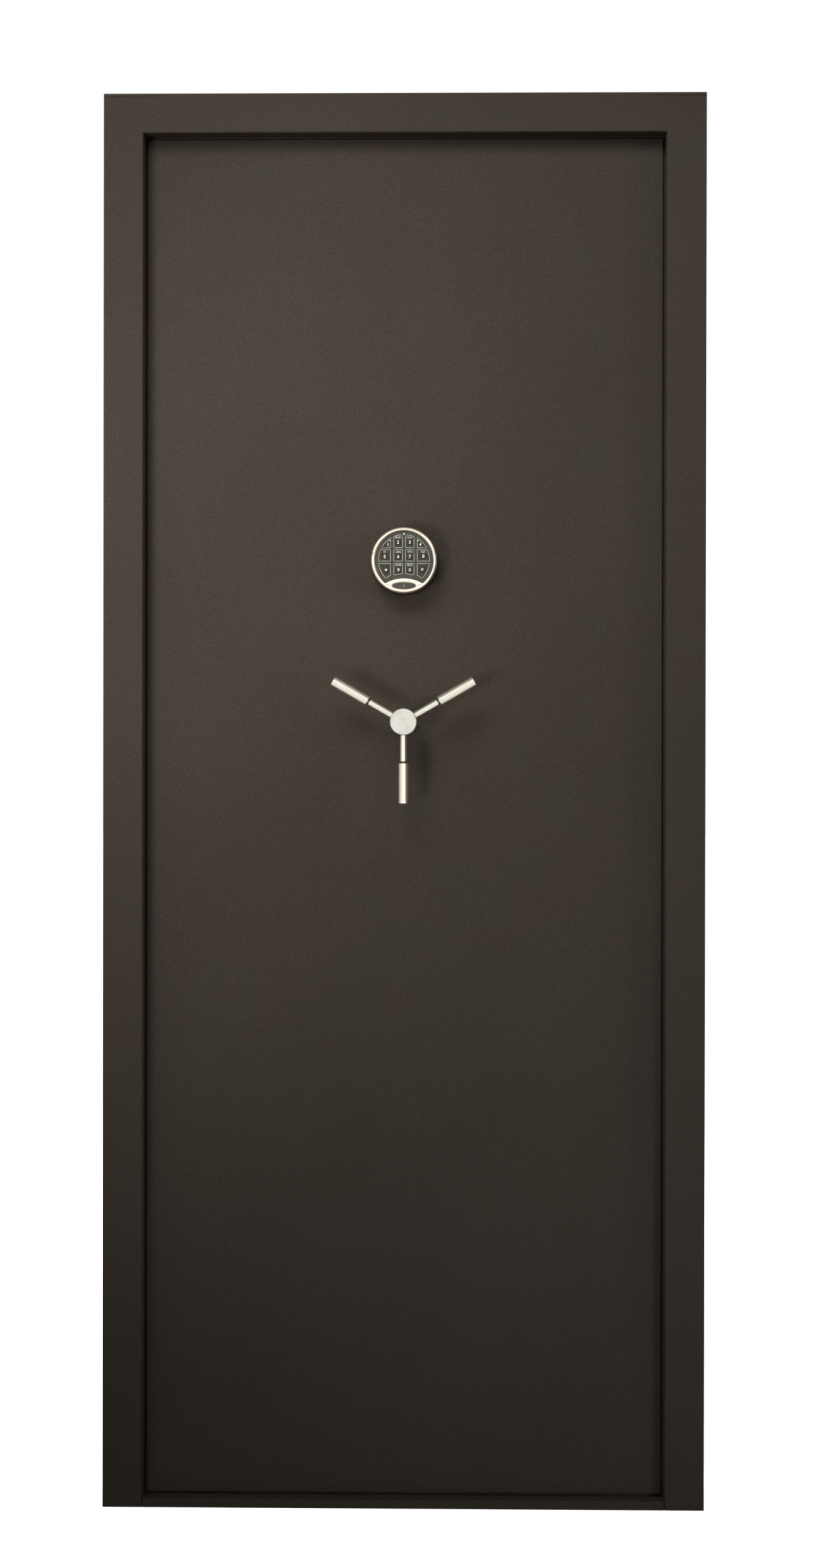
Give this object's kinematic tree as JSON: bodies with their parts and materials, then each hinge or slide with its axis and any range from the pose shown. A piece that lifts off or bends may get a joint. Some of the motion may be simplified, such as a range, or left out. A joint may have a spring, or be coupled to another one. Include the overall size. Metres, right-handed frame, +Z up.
{
  "type": "vault room door with frame",
  "caption": "In-swinging steel vault-room door in its wall frame, with a round electronic keypad, a three-spoke handle, a cam-driven boltwork and an inside escape lever.",
  "frame": {"origin": "centre of the threshold's underside, in the plane of the wall's outer face", "axes": "+Z up; +Y into the vault, so -Y faces the visitor; +X to the visitor's right, the latch side"},
  "size_m": [0.864, 0.1944, 2.032],
  "materials": {
    "textured_bronze_paint": "textured dark bronze powder coat",
    "polished_nickel": "polished bright nickel",
    "zinc_plated_steel": "zinc plated",
    "bright_steel": "ground",
    "bronze": "oiled sintered bronze",
    "black_enamel": "satin enamel",
    "seal_rubber": "matt",
    "gypsum_fireboard": "paper-faced gypsum board",
    "black_plastic": "moulded",
    "key_rubber": "moulded silicone",
    "circuit_board": "solder mask",
    "battery_jacket": "printed jacket"
  },
  "bodies": {
    "frame": {"door_frame": "textured_bronze_paint", "threshold": "textured_bronze_paint", "smoke_seal": "seal_rubber", "lower_hinge_frame_half": "textured_bronze_paint", "middle_hinge_frame_half": "textured_bronze_paint", "upper_hinge_frame_half": "textured_bronze_paint", "lower_hinge_pin": "bright_steel", "middle_hinge_pin": "bright_steel", "upper_hinge_pin": "bright_steel"},
    "door": {"front_plate": "textured_bronze_paint", "door_pan": "textured_bronze_paint", "fireboard": "gypsum_fireboard", "hard_plate": "bright_steel", "rear_cover": "textured_bronze_paint", "spindle_bush": "bronze", "lower_hinge_door_half": "textured_bronze_paint", "middle_hinge_door_half": "textured_bronze_paint", "upper_hinge_door_half": "textured_bronze_paint", "handle_collar": "polished_nickel", "keypad_housing": "polished_nickel", "badge_plate": "black_plastic", "keypad_face": "black_plastic", "circuit_board": "circuit_board", "battery": "battery_jacket", "keypad_cable": "black_plastic", "lock_body": "zinc_plated_steel"},
    "handle": {"handle_hub": "polished_nickel", "left_spoke_rod": "polished_nickel", "left_spoke_grip": "polished_nickel", "right_spoke_rod": "polished_nickel", "right_spoke_grip": "polished_nickel", "lower_spoke_rod": "polished_nickel", "lower_spoke_grip": "polished_nickel", "handle_spindle": "bright_steel", "cam_plate": "zinc_plated_steel", "inside_release_lever": "black_enamel"},
    "latch_bolts": {"latch_bolt_bar": "zinc_plated_steel", "latch_bolt_1": "polished_nickel", "latch_bolt_2": "polished_nickel", "latch_bolt_3": "polished_nickel"},
    "hinge_bolts": {"hinge_bolt_bar": "zinc_plated_steel", "hinge_bolt_1": "polished_nickel", "hinge_bolt_2": "polished_nickel", "hinge_bolt_3": "polished_nickel"},
    "top_bolts": {"top_bolt_bar": "zinc_plated_steel", "top_bolt_left": "polished_nickel", "top_bolt_right": "polished_nickel"},
    "lock_bolt": {"lock_bolt": "bronze"},
    "key_1": {"key_1": "key_rubber"},
    "key_2": {"key_2": "key_rubber"},
    "key_3": {"key_3": "key_rubber"},
    "key_4": {"key_4": "key_rubber"},
    "key_5": {"key_5": "key_rubber"},
    "key_6": {"key_6": "key_rubber"},
    "key_7": {"key_7": "key_rubber"},
    "key_8": {"key_8": "key_rubber"},
    "key_star": {"key_star": "key_rubber"},
    "key_9": {"key_9": "key_rubber"},
    "key_0": {"key_0": "key_rubber"},
    "key_hash": {"key_hash": "key_rubber"}
  },
  "joints": [
    {"name": "door_swing", "type": "hinge", "parent": "frame", "child": "door", "pos_m": [-0.3865, 0.132, 1.016], "axis": [0, 0, 1], "range_deg": [0, 110]},
    {"name": "handle_turn", "type": "hinge", "parent": "door", "child": "handle", "pos_m": [0, 0.0206, 1.13], "axis": [0, -1, 0], "range_deg": [0, 90]},
    {"name": "latch_bolts_throw", "type": "slide", "parent": "door", "child": "latch_bolts", "axis": [1, 0, 0], "range_m": [0, 0.026]},
    {"name": "hinge_bolts_throw", "type": "slide", "parent": "door", "child": "hinge_bolts", "axis": [-1, 0, 0], "range_m": [0, 0.026]},
    {"name": "top_bolts_throw", "type": "slide", "parent": "door", "child": "top_bolts", "axis": [0, 0, 1], "range_m": [0, 0.026]},
    {"name": "lock_bolt_throw", "type": "slide", "parent": "door", "child": "lock_bolt", "axis": [1, 0, 0], "range_m": [0, 0.008]},
    {"name": "key_1_press", "type": "slide", "parent": "door", "child": "key_1", "axis": [0, 1, 0], "range_m": [0, 0.001], "stiffness_N_per_m": 1500},
    {"name": "key_2_press", "type": "slide", "parent": "door", "child": "key_2", "axis": [0, 1, 0], "range_m": [0, 0.001], "stiffness_N_per_m": 1500},
    {"name": "key_3_press", "type": "slide", "parent": "door", "child": "key_3", "axis": [0, 1, 0], "range_m": [0, 0.001], "stiffness_N_per_m": 1500},
    {"name": "key_4_press", "type": "slide", "parent": "door", "child": "key_4", "axis": [0, 1, 0], "range_m": [0, 0.001], "stiffness_N_per_m": 1500},
    {"name": "key_5_press", "type": "slide", "parent": "door", "child": "key_5", "axis": [0, 1, 0], "range_m": [0, 0.001], "stiffness_N_per_m": 1500},
    {"name": "key_6_press", "type": "slide", "parent": "door", "child": "key_6", "axis": [0, 1, 0], "range_m": [0, 0.001], "stiffness_N_per_m": 1500},
    {"name": "key_7_press", "type": "slide", "parent": "door", "child": "key_7", "axis": [0, 1, 0], "range_m": [0, 0.001], "stiffness_N_per_m": 1500},
    {"name": "key_8_press", "type": "slide", "parent": "door", "child": "key_8", "axis": [0, 1, 0], "range_m": [0, 0.001], "stiffness_N_per_m": 1500},
    {"name": "key_star_press", "type": "slide", "parent": "door", "child": "key_star", "axis": [0, 1, 0], "range_m": [0, 0.001], "stiffness_N_per_m": 1500},
    {"name": "key_9_press", "type": "slide", "parent": "door", "child": "key_9", "axis": [0, 1, 0], "range_m": [0, 0.001], "stiffness_N_per_m": 1500},
    {"name": "key_0_press", "type": "slide", "parent": "door", "child": "key_0", "axis": [0, 1, 0], "range_m": [0, 0.001], "stiffness_N_per_m": 1500},
    {"name": "key_hash_press", "type": "slide", "parent": "door", "child": "key_hash", "axis": [0, 1, 0], "range_m": [0, 0.001], "stiffness_N_per_m": 1500}
  ],
  "couplings": [
    {"joint": "latch_bolts_throw", "follows": "handle_turn", "m_per_rad": 0.016552},
    {"joint": "hinge_bolts_throw", "follows": "handle_turn", "m_per_rad": 0.016552},
    {"joint": "top_bolts_throw", "follows": "handle_turn", "m_per_rad": 0.016552}
  ]
}
